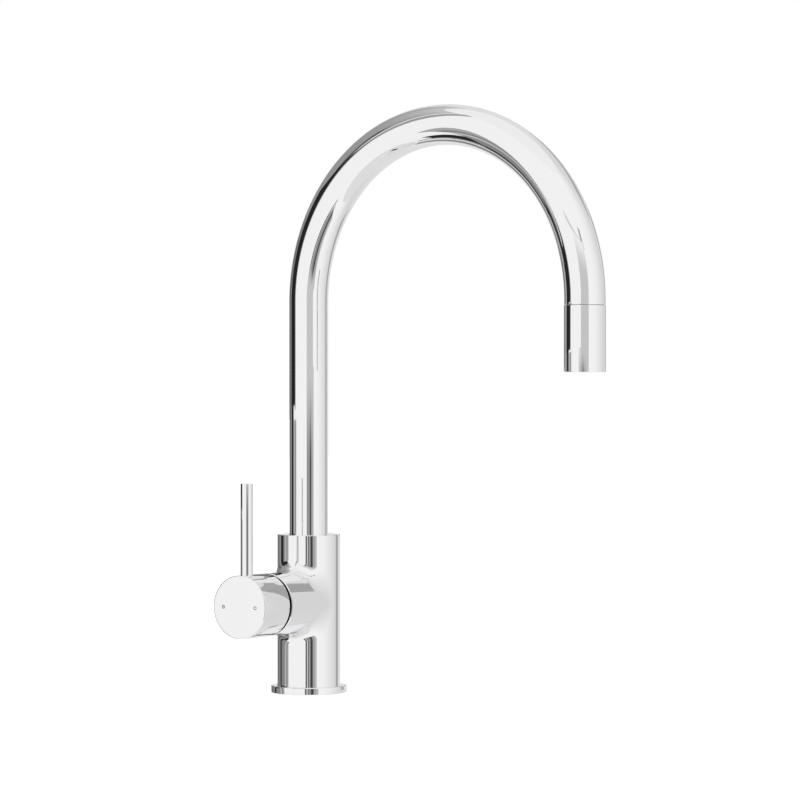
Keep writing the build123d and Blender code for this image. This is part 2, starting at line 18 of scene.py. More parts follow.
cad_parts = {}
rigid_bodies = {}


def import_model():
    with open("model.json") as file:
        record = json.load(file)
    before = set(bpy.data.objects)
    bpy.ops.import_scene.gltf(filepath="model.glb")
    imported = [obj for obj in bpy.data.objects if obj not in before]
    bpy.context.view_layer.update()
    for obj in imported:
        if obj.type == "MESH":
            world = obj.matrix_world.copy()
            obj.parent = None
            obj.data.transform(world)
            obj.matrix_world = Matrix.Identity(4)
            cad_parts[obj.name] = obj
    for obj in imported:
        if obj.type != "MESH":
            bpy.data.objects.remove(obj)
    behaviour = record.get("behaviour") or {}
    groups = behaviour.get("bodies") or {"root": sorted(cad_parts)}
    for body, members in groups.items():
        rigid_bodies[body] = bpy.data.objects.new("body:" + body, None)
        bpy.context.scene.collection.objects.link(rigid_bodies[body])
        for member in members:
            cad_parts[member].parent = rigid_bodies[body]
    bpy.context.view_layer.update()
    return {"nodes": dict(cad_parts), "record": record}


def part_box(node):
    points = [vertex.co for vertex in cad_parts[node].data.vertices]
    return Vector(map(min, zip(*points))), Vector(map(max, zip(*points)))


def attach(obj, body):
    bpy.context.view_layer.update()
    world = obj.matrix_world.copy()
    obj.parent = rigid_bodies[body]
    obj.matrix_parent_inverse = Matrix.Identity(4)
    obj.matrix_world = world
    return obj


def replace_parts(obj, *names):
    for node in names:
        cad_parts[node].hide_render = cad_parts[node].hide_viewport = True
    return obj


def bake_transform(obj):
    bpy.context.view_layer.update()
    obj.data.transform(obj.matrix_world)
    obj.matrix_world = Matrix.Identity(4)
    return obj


for leftover in list(bpy.data.objects):
    bpy.data.objects.remove(leftover)
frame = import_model()
mm = 0.001
scene = bpy.context.scene


# %% [markdown]
# ## Sizes, read from the frame
#
# A box round each piece of the frame says where it is and how big it is. Reading the sizes from there
# keeps the looks in step with the engineering model. Only a few sizes that no box can tell are named here:
# the radii of the blend between body and branch, and the small roundings of the edges.

# %% Read the main sizes
def middle(node):
    """The centre of a node's box."""
    low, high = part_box(node)
    return (low + high) / 2


def span(node):
    """The three sizes of a node's box."""
    low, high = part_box(node)
    return high - low


body_low, body_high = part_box("body_casting")
body_radius = body_high.x
branch_end = -body_low.x
branch_height = middle("handle_cap").z
branch_radius = 22.25 * mm
crotch_blend = 8 * mm
side_blend = 44 * mm
flange_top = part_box("base_ring")[1].z
head_centre = Vector((middle("spray_shell").x, middle("spray_shell").y, 0))
reach = head_centre.length
bend_radius = reach / 2
tube_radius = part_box("spout_tube")[1].x
crown_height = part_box("spout_tube")[1].z - tube_radius - bend_radius
print("body radius", round(body_radius / mm, 2), "reach", round(reach / mm, 1))
print("crown height", round(crown_height / mm, 1))

# %% [markdown]
# ## The camera
#
# A long lens keeps the verticals of the tap straight and its proportions calm, as in a catalogue. The
# camera is level, a little above half the tap's height, and looks from the lever's side so that the arch
# of the spout opens. The tap doesn't stand in the middle of the frame, so the camera is set off to one
# side rather than turned, and a small lens shift brings the frame down.

# %% Place the camera
camera_bearing = radians(-56.84)
camera_distance = 2.498
camera_aside = 0.0653
camera_height = 0.2374
back = Vector((sin(camera_bearing), -cos(camera_bearing), 0))
right = Vector((cos(camera_bearing), sin(camera_bearing), 0))
camera_data = bpy.data.cameras.new("camera")
camera = bpy.data.objects.new("camera", camera_data)
scene.collection.objects.link(camera)
camera_data.sensor_width = 36
camera_data.lens = 156.96
camera_data.shift_y = -0.05
camera.location = back * camera_distance + right * camera_aside + Vector((0, 0, camera_height))
camera.rotation_euler = (-back).to_track_quat("-Z", "Y").to_euler()
scene.camera = camera
scene.view_settings.view_transform = "Standard"
print("camera at", [round(v, 3) for v in camera.location])


# %% [markdown]
# ## Helpers for making meshes
#
# Nearly every piece of a tap is turned on a lathe, so one helper does most of the work: it draws the
# outline as a chain of edges, rounds the corners that a polisher would have rounded, and spins the chain
# into a closed skin. Rounding the chain before it is spun costs nothing and gives every rim the thin
# highlight that real metal has.

# %% Mesh helpers
weld = 0.002 * mm


def placed(bm, name):
    """Puts a bmesh into the scene as an object."""
    mesh = bpy.data.meshes.new(name)
    bm.to_mesh(mesh)
    bm.free()
    piece = bpy.data.objects.new(name, mesh)
    scene.collection.objects.link(piece)
    return piece


def finished(bm, name, body, sharp=40):
    """Turns a bmesh into a smooth-shaded object that rides on a body, if one is named."""
    bmesh.ops.remove_doubles(bm, verts=bm.verts, dist=weld)
    bmesh.ops.recalc_face_normals(bm, faces=bm.faces)
    piece = placed(bm, name)
    piece.data.shade_smooth()
    piece.data.set_sharp_from_angle(angle=radians(sharp))
    if body:
        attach(piece, body)
    print(name, len(piece.data.vertices), "points")
    return piece


def chain(bm, points):
    """Draws edges from point to point, and gives the points and the edges."""
    verts = [bm.verts.new(p) for p in points]
    return verts, [bm.edges.new(pair) for pair in zip(verts, verts[1:])]


def points_and_edges(made):
    """The points and the edges among the things that an operator made."""
    points = [g for g in made if isinstance(g, bmesh.types.BMVert)]
    return points, [g for g in made if isinstance(g, bmesh.types.BMEdge)]


def extruded(bm, edges, move):
    """Extrudes edges by a move, and gives the new points and edges."""
    points, edges = points_and_edges(bmesh.ops.extrude_edge_only(bm, edges=edges)["geom"])
    bmesh.ops.translate(bm, verts=points, vec=move)
    return points, edges


def drawn_out(bm, edges, foot, axis, distance, inwards):
    """Extrudes a round outline along its axis, and draws the new points in towards that axis."""
    points, edges = extruded(bm, edges, axis * distance)
    for point in points:
        arm = point.co - foot
        arm -= arm.dot(axis) * axis
        point.co -= arm.normalized() * inwards
    return edges


# %% Turned pieces
upwards, outwards = Vector((0, 0, 1)), Vector((-1, 0, 0))


def standing(foot):
    """The placing of a piece that is turned about an upright axis."""
    return Matrix.Translation(foot)


def along_branch():
    """The placing of a piece turned about the branch: its own Z runs out along the branch."""
    return Matrix.Translation((0, 0, branch_height)) @ Matrix.Rotation(-pi / 2, 4, "Y")


def turned(name, body, placing, outline, rounding=(), steps=128):
    """A turned piece: its outline is a closed loop of (radius, height), with some corners rounded."""
    bm = bmesh.new()
    verts, _ = chain(bm, [(r, 0, h) for r, h in outline])
    bm.edges.new((verts[-1], verts[0]))
    for corner, radius in rounding:
        bmesh.ops.bevel(
            bm, geom=[verts[corner]], offset=radius, offset_type="OFFSET", segments=6, profile=0.5,
            affect="VERTICES", material=-1)
    bmesh.ops.spin(
        bm, geom=bm.verts[:] + bm.edges[:], cent=(0, 0, 0), axis=upwards, angle=2 * pi, steps=steps,
        use_merge=True)
    bmesh.ops.transform(bm, matrix=placing, verts=bm.verts)
    return finished(bm, name, body)


# %% [markdown]
# ## Materials
#
# Bright chrome is a mirror with a faint blue-grey tint. A perfect mirror looks computed, so two very
# quiet patterns are added: a haze that changes the roughness from place to place, as wiping leaves it,
# and a shallow swell in the surface, far too small to see as a shape, that keeps reflected lines from
# being ruled straight.

# %% Material helpers
def new_material(name):
    """A material with its shader, and its nodes and links at hand."""
    material = bpy.data.materials.new(name)
    material.use_nodes = True
    nodes, links = material.node_tree.nodes, material.node_tree.links
    return material, nodes, links, nodes["Principled BSDF"]


def noise_on_object(nodes, links, scale, detail=3.0, stretch=(1, 1, 1)):
    """Noise in the object's own coordinates, with a size along each axis."""
    coordinates = nodes.new("ShaderNodeTexCoord")
    mapping = nodes.new("ShaderNodeMapping")
    mapping.inputs["Scale"].default_value = stretch
    noise = nodes.new("ShaderNodeTexNoise")
    noise.inputs["Scale"].default_value = scale
    noise.inputs["Detail"].default_value = detail
    links.new(coordinates.outputs["Object"], mapping.inputs["Vector"])
    links.new(mapping.outputs["Vector"], noise.inputs["Vector"])
    return noise


def spread(nodes, links, source, low, high):
    """Maps noise to a range of values."""
    ranged = nodes.new("ShaderNodeMapRange")
    ranged.inputs["From Min"].default_value = 0.3
    ranged.inputs["From Max"].default_value = 0.7
    ranged.inputs["To Min"].default_value = low
    ranged.inputs["To Max"].default_value = high
    links.new(source.outputs["Fac"], ranged.inputs["Value"])
    return ranged


def roughness_from(nodes, links, source, shader, low, high):
    """Lets noise vary the roughness between two values."""
    links.new(spread(nodes, links, source, low, high).outputs["Result"], shader.inputs["Roughness"])


def bump_from(nodes, links, source, shader, height, strength=1.0):
    """Gives the shader a bump of that height in metres."""
    bump = nodes.new("ShaderNodeBump")
    bump.inputs["Distance"].default_value = height
    bump.inputs["Strength"].default_value = strength
    links.new(source.outputs["Fac"], bump.inputs["Height"])
    links.new(bump.outputs["Normal"], shader.inputs["Normal"])


def two_tones(nodes, links, source, dark, light, shader):
    """Varies the colour between two tones."""
    mix = nodes.new("ShaderNodeMix")
    mix.data_type = "RGBA"
    mix.inputs["A"].default_value = (*dark, 1)
    mix.inputs["B"].default_value = (*light, 1)
    links.new(source.outputs["Fac"], mix.inputs["Factor"])
    links.new(mix.outputs["Result"], shader.inputs["Base Color"])


# %% Chrome
def chrome(name, tint, roughness, haze):
    """Polished chrome plate: tint is its colour, and haze how much its roughness wanders."""
    material, nodes, links, shader = new_material(name)
    shader.inputs["Metallic"].default_value = 1.0
    shader.inputs["Base Color"].default_value = (*tint, 1)
    wiping = noise_on_object(nodes, links, scale=45.0, detail=4.0, stretch=(1, 1, 0.35))
    roughness_from(nodes, links, wiping, shader, roughness, roughness + haze)
    swell = noise_on_object(nodes, links, scale=60.0, detail=1.0)
    bump_from(nodes, links, swell, shader, height=0.0015 * mm)
    return material


polished_chrome = chrome("polished_chrome", tint=(0.905, 0.903, 0.909), roughness=0.015, haze=0.02)
print("made", polished_chrome.name)


# %% [markdown]
# The other finishes are quieter. Moulded plastic has a fine grain and a slight change of tone. Turned
# brass keeps the rings of its tool. Rubber is dark and dull. Drawn steel has streaks. The hose is a tight
# nylon braid round a soft core, and its two sets of strands are woven from two slanted waves.

# %% The other finishes
def moulded(name, dark, light, roughness, grain):
    """Moulded plastic or rubber with a grain of that many cells per metre."""
    material, nodes, links, shader = new_material(name)
    tone = noise_on_object(nodes, links, scale=120.0, detail=3.0)
    two_tones(nodes, links, tone, dark, light, shader)
    skin = noise_on_object(nodes, links, scale=grain, detail=2.0)
    roughness_from(nodes, links, skin, shader, roughness, roughness + 0.12)
    bump_from(nodes, links, skin, shader, height=0.04 * mm, strength=0.5)
    return material


def machined(name, dark, light, roughness, stretch):
    """Machined metal, with tool marks that run across the stretched axis."""
    material, nodes, links, shader = new_material(name)
    shader.inputs["Metallic"].default_value = 1.0
    marks = noise_on_object(nodes, links, scale=900.0, detail=2.0, stretch=stretch)
    two_tones(nodes, links, marks, dark, light, shader)
    roughness_from(nodes, links, marks, shader, roughness, roughness + 0.15)
    bump_from(nodes, links, marks, shader, height=0.02 * mm, strength=0.6)
    return material


black_plastic = moulded("black_plastic", (0.012, 0.012, 0.013), (0.022, 0.022, 0.024), 0.42, 2500.0)
grey_plastic = moulded("grey_plastic", (0.30, 0.31, 0.32), (0.36, 0.37, 0.38), 0.38, 2200.0)
white_plastic = moulded("white_plastic", (0.76, 0.76, 0.74), (0.83, 0.83, 0.81), 0.35, 2200.0)
seal_rubber = moulded("seal_rubber", (0.010, 0.010, 0.010), (0.020, 0.020, 0.021), 0.62, 1800.0)
ceramic = moulded("ceramic", (0.80, 0.78, 0.73), (0.88, 0.87, 0.83), 0.18, 4000.0)
mark_grey = moulded("mark_grey", (0.03, 0.03, 0.035), (0.05, 0.05, 0.055), 0.45, 3000.0)
turned_brass = machined("turned_brass", (0.62, 0.45, 0.20), (0.78, 0.60, 0.30), 0.22, (0.2, 0.2, 2.0))
stainless = machined("stainless", (0.50, 0.50, 0.51), (0.66, 0.66, 0.67), 0.24, (1.0, 1.0, 0.2))


# %% The braid of the hose
def braid(name, dark, light, radius, strands, axis_point):
    """A braided sleeve round an upright axis: two slanted sets of strands, each standing up a little."""
    material, nodes, links, shader = new_material(name)
    shader.inputs["Roughness"].default_value = 0.48

    def sum_of(operation, first, second=0.0):
        """One step of arithmetic on sockets or numbers."""
        step = nodes.new("ShaderNodeMath")
        step.operation = operation
        for socket, value in zip(step.inputs, (first, second)):
            if isinstance(value, float):
                socket.default_value = value
            else:
                links.new(value, socket)
        return step.outputs["Value"]

    place = nodes.new("ShaderNodeTexCoord")
    centred = nodes.new("ShaderNodeMapping")
    centred.inputs["Location"].default_value = (-axis_point.x, -axis_point.y, 0)
    split = nodes.new("ShaderNodeSeparateXYZ")
    links.new(place.outputs["Object"], centred.inputs["Vector"])
    links.new(centred.outputs["Vector"], split.inputs["Vector"])
    bearing = sum_of("ARCTAN2", split.outputs["Y"], split.outputs["X"])
    around = sum_of("MULTIPLY", bearing, float(strands))
    along = sum_of("MULTIPLY", split.outputs["Z"], strands / radius)
    rising = sum_of("SINE", sum_of("ADD", around, along))
    falling = sum_of("SINE", sum_of("SUBTRACT", around, along))
    strand_height = sum_of("MAXIMUM", rising, falling)
    tone = nodes.new("ShaderNodeMix")
    tone.data_type = "RGBA"
    tone.inputs["A"].default_value = (*dark, 1)
    tone.inputs["B"].default_value = (*light, 1)
    links.new(strand_height, tone.inputs["Factor"])
    links.new(tone.outputs["Result"], shader.inputs["Base Color"])
    bump = nodes.new("ShaderNodeBump")
    bump.inputs["Distance"].default_value = 0.3 * mm
    links.new(strand_height, bump.inputs["Height"])
    links.new(bump.outputs["Normal"], shader.inputs["Normal"])
    return material


hose_radius = span("hose_leader").x / 2
braided_hose = braid(
    "braided_hose", (0.06, 0.06, 0.065), (0.36, 0.37, 0.38), hose_radius, strands=16, axis_point=head_centre)
print("braid of a hose", round(2 * hose_radius / mm, 1), "mm across")

# %% [markdown]
# ## The body
#
# The body and its branch are one brass casting. Where two cylinders of nearly the same width cross, a
# foundry never leaves the crease: a ball rolled along the corner would touch it all the way. That is also
# the exact rule for the shape. The centre of the ball runs along a curve, and the blend is the ball's own
# surface between the two lines where it touches. The polisher's wheel takes more off at the sides, where
# the two cylinders meet almost flush, so the ball swells there. The body is made in three moves: join two
# plain cylinders, remesh them into even small faces, and then set every point on whichever surface is its
# own: body, branch, or ball.

# %% Join and remesh two cylinders
def settle(piece):
    """Applies a piece's modifiers to its mesh."""
    made = bpy.data.meshes.new_from_object(piece.evaluated_get(bpy.context.evaluated_depsgraph_get()))
    piece.modifiers.clear()
    piece.data = made


def boolean(piece, other, operation):
    """Joins or cuts piece with other, for good, and removes other."""
    modifier = piece.modifiers.new("boolean", "BOOLEAN")
    modifier.operation = operation
    modifier.solver = "MANIFOLD"
    modifier.object = other
    settle(piece)
    bpy.data.objects.remove(other)


def rod(radius, start, end, steps=96):
    """A plain rod between two points, as a loose object."""
    bm = bmesh.new()
    start, end = Vector(start), Vector(end)
    way = end - start
    placing = Matrix.Translation((start + end) / 2) @ way.to_track_quat("Z", "Y").to_matrix().to_4x4()
    bmesh.ops.create_cone(
        bm, cap_ends=True, segments=steps, radius1=radius, radius2=radius, depth=way.length, matrix=placing)
    return placed(bm, "rod")


voxel = 0.75 * mm
overrun = 3 * mm
fine_steps = 256
body_skin = rod(body_radius, (0, 0, flange_top - overrun), (0, 0, body_high.z + overrun), fine_steps)
side_branch = rod(
    branch_radius, (0, 0, branch_height), (-branch_end - overrun, 0, branch_height), fine_steps)
boolean(body_skin, side_branch, "UNION")
remesh = body_skin.modifiers.new("remesh", "REMESH")
remesh.mode = "VOXEL"
remesh.voxel_size = voxel
settle(body_skin)
print("remeshed body:", len(body_skin.data.vertices), "points")


# %% Roll the ball along the corner
swell_power = 5
blend_reach = 1.5 * crotch_blend
search_behind, search_ahead, least_turn = radians(32), radians(8), 0.001
halvings = 22


def ball_radius(turn):
    """The rolling ball's radius at an angle round the branch: small above and below, large at the sides."""
    return crotch_blend + (side_blend - crotch_blend) * abs(cos(turn)) ** swell_power


def ball_centre(turn):
    """Where the rolling ball's centre is, at that angle round the branch."""
    from_branch = branch_radius + ball_radius(turn)
    from_body = body_radius + ball_radius(turn)
    aside, up = from_branch * cos(turn), from_branch * sin(turn)
    return Vector((-sqrt(from_body**2 - aside**2), aside, branch_height + up))


def on_body(point):
    """The nearest point of the upright cylinder."""
    scale = body_radius / hypot(point.x, point.y)
    return Vector((point.x * scale, point.y * scale, point.z))


def on_branch(point):
    """The nearest point of the level cylinder."""
    scale = branch_radius / hypot(point.y, point.z - branch_height)
    return Vector((point.x, point.y * scale, branch_height + (point.z - branch_height) * scale))


def heights(point):
    """How far a point stands out from the upright cylinder, and from the level one."""
    from_body = hypot(point.x, point.y) - body_radius
    return from_body, hypot(point.y, point.z - branch_height) - branch_radius


def belongs_to_body(point):
    """Whether a point that isn't on the blend belongs to the upright cylinder."""
    from_body, from_branch = heights(point)
    return from_body < from_branch or point.x > 0


def past_ball(point, turn):
    """How far a point lies past the plane through the ball's centre and the two places where it touches."""
    centre = ball_centre(turn)
    across = (on_body(centre) - centre).cross(on_branch(centre) - centre)
    return (point - centre).dot(across.normalized())


def nearest_turn(point):
    """The angle round the branch whose ball's plane holds a point, found by halving."""
    quarter = Vector((point.x, abs(point.y), branch_height + abs(point.z - branch_height)))
    guess = atan2(quarter.z - branch_height, quarter.y)
    low, high = max(least_turn, guess - search_behind), min(pi / 2, guess + search_ahead)
    low_side = past_ball(quarter, low) > 0
    for _ in range(halvings):
        centre = (low + high) / 2
        if (past_ball(quarter, centre) > 0) == low_side:
            low = centre
        else:
            high = centre
    turn = pi - low if point.y < 0 else low
    return turn if point.z > branch_height else -turn


def blend_at(point):
    """The ball's centre and radius where a point belongs to the blend, or None where it doesn't."""
    if point.x > 0 or max(heights(point)) > blend_reach:
        return None
    turn = nearest_turn(point)
    centre = ball_centre(turn)
    to_body = (on_body(centre) - centre).normalized()
    to_branch = (on_branch(centre) - centre).normalized()
    ray = (point - centre).normalized()
    corner = to_body.dot(to_branch)
    inside = ray.dot(to_body) > corner and ray.dot(to_branch) > corner
    return (centre, ball_radius(turn)) if inside else None


def true_surface(point):
    """The point of the blended skin that belongs to a point near it."""
    blend = blend_at(point)
    if blend:
        centre, radius = blend
        return centre + (point - centre).normalized() * radius
    return on_body(point) if belongs_to_body(point) else on_branch(point)


# %% Set every point on its own surface
rim_edge = 0.4 * mm
branch_edge = 0.5 * mm
mouth_planes = [
    (upwards * flange_top, -upwards),
    (upwards * (body_high.z - rim_edge), upwards),
    (outwards * (branch_end - branch_edge), outwards),
]
bm = bmesh.new()
bm.from_mesh(body_skin.data)
for cut_at, away in mouth_planes:
    bmesh.ops.bisect_plane(
        bm, geom=bm.verts[:] + bm.edges[:] + bm.faces[:], dist=1e-7, plane_co=cut_at, plane_no=away,
        clear_outer=True)
for vert in bm.verts:
    vert.co = true_surface(vert.co)
rim_edges = sum(edge.is_boundary for edge in bm.edges)
print("skin:", len(bm.verts), "points,", rim_edges, "edges round its three mouths")


# %% [markdown]
# The skin has three open mouths: foot, top and branch. The top and the branch are drawn outwards by a
# small chamfer, as a lathe would break the edge, and closed with a flat. The foot is drawn in to a spigot
# that passes down through the flange.

# %% Close the three mouths
spigot_radius = 19 * mm
near_mouth = 1 * mm


def mouth(bm, test):
    """The boundary edges whose middles pass a test."""
    return [e for e in bm.edges if e.is_boundary and test((e.verts[0].co + e.verts[1].co) / 2)]


top_mouth = mouth(bm, lambda p: p.z > body_high.z - near_mouth)
top_mouth = drawn_out(bm, top_mouth, Vector(), upwards, rim_edge, rim_edge)
bmesh.ops.edgeloop_fill(bm, edges=top_mouth)
end_mouth = mouth(bm, lambda p: p.x < -branch_end + near_mouth)
end_mouth = drawn_out(bm, end_mouth, upwards * branch_height, outwards, branch_edge, branch_edge)
bmesh.ops.edgeloop_fill(bm, edges=end_mouth)
foot_mouth = mouth(bm, lambda p: p.z < flange_top + near_mouth)
foot_points, foot_mouth = extruded(bm, foot_mouth, (0, 0, 0))
narrowing = spigot_radius / body_radius
bmesh.ops.scale(bm, vec=(narrowing, narrowing, 1), verts=foot_points)
_, foot_mouth = extruded(bm, foot_mouth, (0, 0, -flange_top))
bmesh.ops.edgeloop_fill(bm, edges=foot_mouth)
bmesh.ops.recalc_face_normals(bm, faces=bm.faces)
print("closed skin:", len(bm.faces), "faces")
bm.to_mesh(body_skin.data)
bm.free()

# %% [markdown]
# Then the real bores are cut, each with a rod that is taken away from the casting: the hose's way
# through, the neck for the swivel, the cartridge's seat and its wider mouth, the tapped ports underneath
# with the hole for the fixing stud, and the tapped hole for the stop screw at the back.

# %% Cut the bores
hose_way = 6.8 * mm
neck_bore, neck_floor = 17.5 * mm, 86 * mm
seat_bore, seat_floor = 17.45 * mm, 19 * mm
seat_mouth, seat_mouth_floor = 19.5 * mm, 45 * mm
stop_hole, stop_hole_depth = 2.5 * mm, 16 * mm
stop_height = middle("stop_screw").z
port_bore, stud_bore = 4.46 * mm, 3.4 * mm
port_circle, port_depth = 12.6 * mm, 14 * mm
ports = [(port_bore, radians(180 + turn)) for turn in (-48, 0, 48)] + [(stud_bore, 0.0)]
past = 1 * mm
branch_mouth = (-branch_end - past, 0, branch_height)
cuts = [
    (hose_way, (0, 0, -past), (0, 0, neck_floor + past)),
    (neck_bore, (0, 0, neck_floor), (0, 0, body_high.z + past)),
    (seat_bore, (-seat_floor, 0, branch_height), branch_mouth),
    (seat_mouth, (-seat_mouth_floor, 0, branch_height), branch_mouth),
    (stop_hole, (0, stop_hole_depth, stop_height), (0, body_radius + past, stop_height)),
]
for radius, bearing in ports:
    x, y = port_circle * cos(bearing), port_circle * sin(bearing)
    cuts.append((radius, (x, y, -past), (x, y, port_depth)))
for radius, start, end in cuts:
    boolean(body_skin, rod(radius, start, end), "DIFFERENCE")
body_skin.name = "body_skin"
body_skin.data.shade_smooth()
body_skin.data.set_sharp_from_angle(angle=radians(30))
body_skin.data.materials.clear()
body_skin.data.materials.append(polished_chrome)
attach(body_skin, "tap_body")
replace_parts(body_skin, "body_casting")
print("body skin:", len(body_skin.data.polygons), "faces")


# %% [markdown]
# The points now lie exactly on the skin, but the small faces between them are uneven, and a mirror would
# show that as ragged edges in every stripe. So the skin is also told which way it faces at each point.
# The height of a nearby point above the skin is known, and the way in which that height grows fastest is
# the skin's own direction.

# %% Tell the skin which way it faces
def height_above(point):
    """How far a point stands out from the skin."""
    blend = blend_at(point)
    if blend:
        centre, radius = blend
        return radius - (point - centre).length
    from_body, from_branch = heights(point)
    return from_body if belongs_to_body(point) else from_branch


def skin_direction(point):
    """The way in which the height above the skin grows fastest."""
    step = 0.05 * mm
    here = height_above(point)
    rises = [height_above(point + axis * step) - here for axis in Matrix.Identity(3)]
    return Vector(rises).normalized()


on_skin = 0.005 * mm
same_side = cos(radians(35))
mesh = body_skin.data
directions = {}
for vert in mesh.vertices:
    if abs(height_above(vert.co)) < on_skin and flange_top < vert.co.z:
        directions[vert.index] = skin_direction(vert.co)
corners = [corner.vector.copy() for corner in mesh.corner_normals]
for face in mesh.polygons:
    for loop in face.loop_indices:
        direction = directions.get(mesh.loops[loop].vertex_index)
        if direction and direction.dot(face.normal) > same_side:
            corners[loop] = direction
mesh.normals_split_custom_set(corners)
print("directions set at", len(directions), "of", len(mesh.vertices), "points")


# %% [markdown]
# ## The spout
#
# The spout is one drawn tube, bent once. A circle is raised along the riser, spun through half a turn
# about the centre of the bend, and brought down to the tip. Spinning gives a bend of one true radius,
# which is what a tube bender makes. The tip is turned inwards by a small rounding, so that its wall shows
# against the spray head.

# %% Make the spout tube
tube_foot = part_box("spout_tube")[0].z
seam = 0.2 * mm
tube_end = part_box("spray_shell")[1].z + seam
tube_wall, tip_rounding, tip_depth = 1.2 * mm, 0.25 * mm, 6 * mm
riser_steps, bend_steps, tip_steps = 12, 144, 6
bm = bmesh.new()
bmesh.ops.create_circle(bm, segments=96, radius=tube_radius, matrix=Matrix.Translation((0, 0, tube_foot)))
edges = bm.edges[:]
for _ in range(riser_steps):
    points, edges = extruded(bm, edges, (0, 0, (crown_height - tube_foot) / riser_steps))
bend_middle = head_centre / 2 + upwards * crown_height
made = bmesh.ops.spin(
    bm, geom=points + edges, cent=bend_middle, axis=upwards.cross(head_centre).normalized(), angle=pi,
    steps=bend_steps, use_merge=False)["geom_last"]
_, edges = points_and_edges(made)
tip_moves = [(tube_end + tip_rounding - crown_height, 0.0)]
quarter = [pi / 2 * k / tip_steps for k in range(tip_steps + 1)]
for a, b in zip(quarter, quarter[1:]):
    tip_moves.append((-tip_rounding * (sin(b) - sin(a)), tip_rounding * (cos(a) - cos(b))))
tip_moves += [(0.0, tube_wall - tip_rounding), (tip_depth, 0.0)]
for rise, inwards in tip_moves:
    edges = drawn_out(bm, edges, head_centre, upwards, rise, inwards)
spout = finished(bm, "spout_skin", "spout", 50)
spout.data.materials.append(polished_chrome)
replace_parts(spout, "spout_tube")

# %% [markdown]
# ## The turned pieces
#
# The flange, the collar at the neck, the cap, the lever and the shell of the spray head are all plain
# turned work. Their outlines follow the frame's boxes, and each corner gets the rounding that polishing
# gives it. The flange comes first. It hides the seal in a groove of its underside. The collar closes the
# neck.

# %% Flange and collar
flange_radius = span("base_ring").x / 2
flange_rim, flange_foot_edge = 0.8 * mm, 0.25 * mm
seal_inner, seal_outer, seal_height = 22.5 * mm, 24.3 * mm, 1.8 * mm
flange = turned(
    "flange", "tap_body", standing((0, 0, 0)),
    [(spigot_radius, 0), (seal_inner, 0), (seal_inner, seal_height), (seal_outer, seal_height),
     (seal_outer, 0), (flange_radius, 0), (flange_radius, flange_top), (spigot_radius, flange_top)],
    [(6, flange_rim), (5, flange_foot_edge)])
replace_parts(flange, "base_ring")

collar_low, collar_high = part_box("neck_ring")
collar_gap = 0.05 * mm
collar_bore = tube_radius + collar_gap
collar_edge, collar_lip = 0.15 * mm, 0.2 * mm
collar = turned(
    "neck_collar", "tap_body", standing((0, 0, 0)),
    [(collar_bore, collar_low.z), (collar_high.x, collar_low.z), (collar_high.x, collar_high.z),
     (collar_bore, collar_high.z)],
    [(2, collar_edge), (3, collar_lip)])
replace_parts(collar, "neck_ring")

# %% [markdown]
# The cap is a thick plate with a wide bore from behind, which leaves room for the dome that it rocks
# over. The lever is a plain pin that is screwed into the top of the cap.

# %% Cap and lever
cap_low, cap_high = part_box("handle_cap")
cap_rear, cap_front = -cap_high.x, -cap_low.x
cap_radius = (cap_high.z - cap_low.z) / 2
cap_plate, cap_bore = 17.7 * mm, 20.4 * mm
cap_floor = cap_front - cap_plate
cap_rim, cap_rear_edge, cap_mouth_edge, cap_floor_corner = 0.9 * mm, 0.4 * mm, 0.3 * mm, 1.0 * mm
cap = turned(
    "lever_cap", "handle", along_branch(),
    [(0, cap_front), (cap_radius, cap_front), (cap_radius, cap_rear), (cap_bore, cap_rear),
     (cap_bore, cap_floor), (0, cap_floor)],
    [(1, cap_rim), (2, cap_rear_edge), (3, cap_mouth_edge), (4, cap_floor_corner)])
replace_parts(cap, "handle_cap")

lever_low, lever_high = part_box("lever_pin")
lever_radius = (lever_high.x - lever_low.x) / 2
lever_thread = 6 * mm
lever_foot = lever_low.z + lever_thread
lever_edge = 0.45 * mm
lever_axis = middle("lever_pin")
lever = turned(
    "pin_lever", "handle", standing((lever_axis.x, lever_axis.y, 0)),
    [(0, lever_high.z), (lever_radius, lever_high.z), (lever_radius, lever_foot), (0, lever_foot)],
    [(1, lever_edge)], steps=64)
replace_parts(lever, "lever_pin")

# %% [markdown]
# The shell of the spray head carries on the line of the spout, a hair wider than the tube. It is a thin
# sleeve round the works of the head, with a fine rounding at both ends.

# %% Spray shell
shell_low, shell_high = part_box("spray_shell")
shell_radius = (shell_high.x - shell_low.x) / 2
shell_wall = 1.2 * mm
shell_bore = shell_radius - shell_wall
shell_lip, shell_foot_edge, shell_top_edge = 0.25 * mm, 0.5 * mm, 0.3 * mm
shell = turned(
    "spray_shell_skin", "spray_head", standing(head_centre),
    [(shell_bore, shell_low.z), (shell_radius, shell_low.z), (shell_radius, shell_high.z),
     (shell_bore, shell_high.z)],
    [(0, shell_lip), (1, shell_foot_edge), (2, shell_top_edge)])
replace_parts(shell, "spray_shell")
for piece in (flange, collar, cap, lever, shell):
    piece.data.materials.append(polished_chrome)

# %% [markdown]
# The cap carries two small marks that tell hot from cold: a ring with a dot in it, and a plain ring. On the
# real thing they are engraved strokes; here they are thin dark inlays that stand a hair proud of the face.

# %% The marks on the cap
proud = 0.02 * mm
ring_outer, ring_inner, dot_radius = 1.3 * mm, 0.85 * mm, 0.4 * mm


def inlay(name, node, inner, outer):
    """A thin round inlay at a mark's place on the cap's face."""
    back_face = cap_front - span(node).x
    front_face = cap_front + proud
    placing = Matrix.Translation((0, middle(node).y, 0)) @ along_branch()
    made = turned(
        name, "handle", placing,
        [(inner, back_face), (outer, back_face), (outer, front_face), (inner, front_face)], steps=32)
    made.data.materials.append(mark_grey)
    return made


